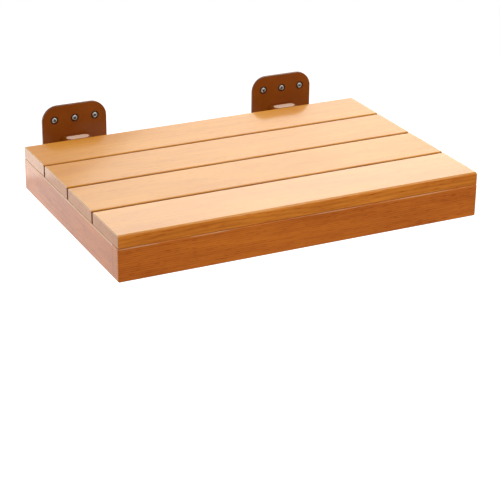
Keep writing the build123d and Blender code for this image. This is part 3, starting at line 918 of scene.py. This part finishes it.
# %% [markdown]
# Beyond the floor is the sky of a studio. One even background would do for light alone. Two are mixed, so
# that the camera and mirrors see white while the seat gets only a soft fill.

# %% Sky
WHITE, FILL = (1.0, 1.0, 1.0, 1.0), 0.55
world = bpy.data.worlds.new("studio")
start = emptied(world)
fill = start.node("ShaderNodeBackground", None, {"Color": WHITE, "Strength": FILL})
white = start.node("ShaderNodeBackground", None, {"Color": WHITE, "Strength": 1.0})
mixed = start.node("ShaderNodeMixShader", None, {0: seen_rays(start), 1: fill, 2: white})
start.node("ShaderNodeOutputWorld", None, {"Surface": mixed})
bpy.context.scene.world = world
print("sky:", len(world.node_tree.nodes), "nodes, fill light", FILL)


# %% [markdown]
# Three soft boxes light the seat, each placed where a surface mirrors it towards the camera. Even light
# from all round would be simpler, but varnish only shows by what it mirrors. The lamp behind lays a pale
# sheen over the slats. It is rolled, so that the mirror image of its lower edge crosses the top at the rear
# left, where the seat stays dark. One at the left does the same for the side, and a small bright one
# overhead draws a line along the rounded front edges.

# %% Soft boxes
SEAT, LEFT_SIDE = (0.0, -0.2, 0.0), (-0.225, -0.2, 0.0)
NEUTRAL, WARM, PALE = (1.0, 1.0, 1.0), (1.0, 0.95, 0.86), (0.94, 0.95, 0.87)
LAMPS = {
    "overhead": dict(centre=(0.71, -0.73, 1.43), aim=SEAT, width=0.7, height=0.6, radiance=6.5, tint=NEUTRAL),
    "behind": dict(
        centre=(0.74, 1.065, 0.715), aim=SEAT, width=1.1, height=0.75, radiance=3.1, tint=PALE,
        roll=math.radians(41)),
    "at_left": dict(
        centre=(-0.75, 0.9, 0.0), aim=LEFT_SIDE, width=0.7, height=0.9, radiance=2.0, tint=WARM),
}


def stand(name, data, centre, back, roll):
    """A lamp or camera at a place, which looks away from the direction back and is rolled about it.

    Its right and up start level and upright, both square to back, and turn together by the roll.
    """
    made = bpy.data.objects.new(name, data)
    bpy.context.scene.collection.objects.link(made)
    level = np.cross((0, 0, 1), back)
    level = level / np.linalg.norm(level)
    upright = np.cross(back, level)
    matrix = np.eye(4)
    matrix[:3, 0] = math.cos(roll) * level + math.sin(roll) * upright
    matrix[:3, 1] = math.cos(roll) * upright - math.sin(roll) * level
    matrix[:3, 2] = back
    matrix[:3, 3] = centre
    made.matrix_world = Matrix(matrix.tolist())
    return made


def softbox(name, centre, aim, width, height, radiance, tint, roll=0.0):
    """A rectangular lamp, as bright as a white card lit at the given level."""
    lamp = bpy.data.lights.new(name, "AREA")
    lamp.color = tint
    lamp.shape = "RECTANGLE"
    lamp.size, lamp.size_y = width, height
    lamp.energy = radiance * width * height * math.pi
    back = np.subtract(centre, aim)
    return stand(name, lamp, centre, back / np.linalg.norm(back), roll)


print("lamps:", [softbox(name, **lamp).name for name, lamp in LAMPS.items()])


# %% [markdown]
# The camera stands to the left and above, far off with a long lens. A place found by eye would come close.
# This one was fitted to the corners and edges of the seat in the photograph.

# %% Camera
AZIMUTH, ELEVATION, ROLL = (math.radians(angle) for angle in (-26.366, 23.853, 0.663))
DISTANCE, TARGET = 2.0035, np.array((0.00491, -0.1972, -0.10542))
FOCAL_PIXELS, IMAGE_PIXELS, SENSOR = 1652.11, 500, 36.0
NEAREST, FARTHEST = 0.05, 60.0

lens = bpy.data.cameras.new("camera")
lens.sensor_width, lens.lens = SENSOR, FOCAL_PIXELS / IMAGE_PIXELS * SENSOR
lens.clip_start, lens.clip_end = NEAREST, FARTHEST
level = math.cos(ELEVATION)
back = np.array((math.sin(AZIMUTH) * level, -math.cos(AZIMUTH) * level, math.sin(ELEVATION)))
camera = stand("camera", lens, TARGET + back * DISTANCE, back, ROLL)
bpy.context.scene.camera = camera
bpy.context.scene.view_settings.view_transform = "Standard"
print("camera at", np.round(TARGET + back * DISTANCE, 3), "lens", round(lens.lens, 1), "mm")


# %% [markdown]
